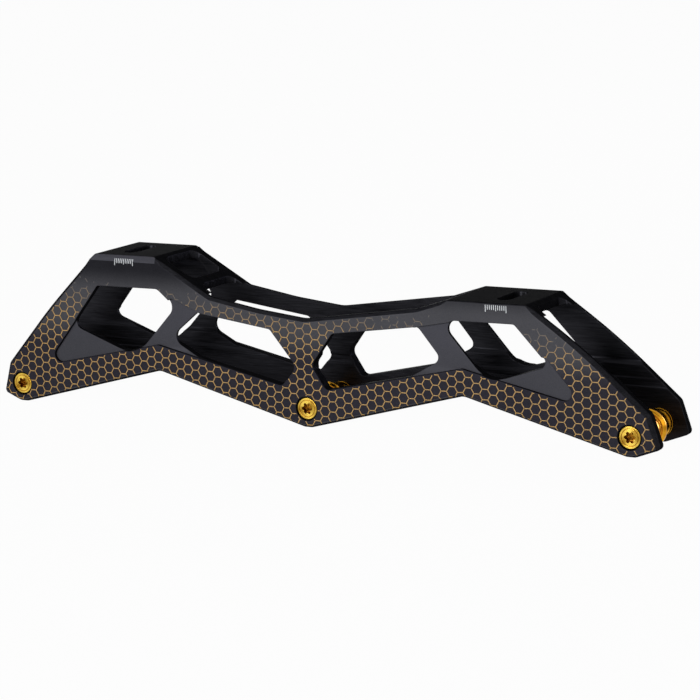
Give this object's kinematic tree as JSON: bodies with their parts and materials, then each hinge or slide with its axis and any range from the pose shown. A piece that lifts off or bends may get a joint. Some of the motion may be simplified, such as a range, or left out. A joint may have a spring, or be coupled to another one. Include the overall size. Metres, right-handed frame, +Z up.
{
  "type": "inline skate frame",
  "caption": "Milled aluminium inline skate frame for large wheels, with windowed side walls, slotted mounting decks, screw axles, bushes and spacers.",
  "frame": {"origin": "bottom centre of the frame's box, on the level of the feet under the axles", "axes": "+X towards the toe along the wheel line, +Z up to the boot, -Y the side with the axle heads"},
  "size_m": [0.3418, 0.039, 0.0743],
  "materials": {
    "anodised_black": "satin black anodised with a printed honeycomb",
    "axle_gold": "turned, gold anodised",
    "bush_gold": "turned, gold anodised",
    "spacer_gold": "turned, gold anodised"
  },
  "bodies": {
    "frame": {"frame_body": "anodised_black", "rear_near_bush": "bush_gold", "rear_far_bush": "bush_gold", "middle_near_bush": "bush_gold", "middle_far_bush": "bush_gold", "front_near_bush": "bush_gold", "front_far_bush": "bush_gold"},
    "rear_axle": {"rear_axle": "axle_gold"},
    "rear_spacer": {"rear_spacer": "spacer_gold"},
    "middle_axle": {"middle_axle": "axle_gold"},
    "middle_spacer": {"middle_spacer": "spacer_gold"},
    "front_axle": {"front_axle": "axle_gold"},
    "front_spacer": {"front_spacer": "spacer_gold"}
  },
  "joints": [
    {"name": "rear_axle_draw", "type": "slide", "parent": "frame", "child": "rear_axle", "axis": [0, -1, 0], "range_m": [0, 0.045]},
    {"name": "rear_spacer_spin", "type": "hinge", "parent": "frame", "child": "rear_spacer", "pos_m": [-0.16009, 0, 0.0088], "axis": [0, 1, 0], "continuous": true},
    {"name": "middle_axle_draw", "type": "slide", "parent": "frame", "child": "middle_axle", "axis": [0, -1, 0], "range_m": [0, 0.045]},
    {"name": "middle_spacer_spin", "type": "hinge", "parent": "frame", "child": "middle_spacer", "pos_m": [-0.00134, 0, 0.0088], "axis": [0, 1, 0], "continuous": true},
    {"name": "front_axle_draw", "type": "slide", "parent": "frame", "child": "front_axle", "axis": [0, -1, 0], "range_m": [0, 0.045]},
    {"name": "front_spacer_spin", "type": "hinge", "parent": "frame", "child": "front_spacer", "pos_m": [0.15741, 0, 0.0088], "axis": [0, 1, 0], "continuous": true}
  ]
}
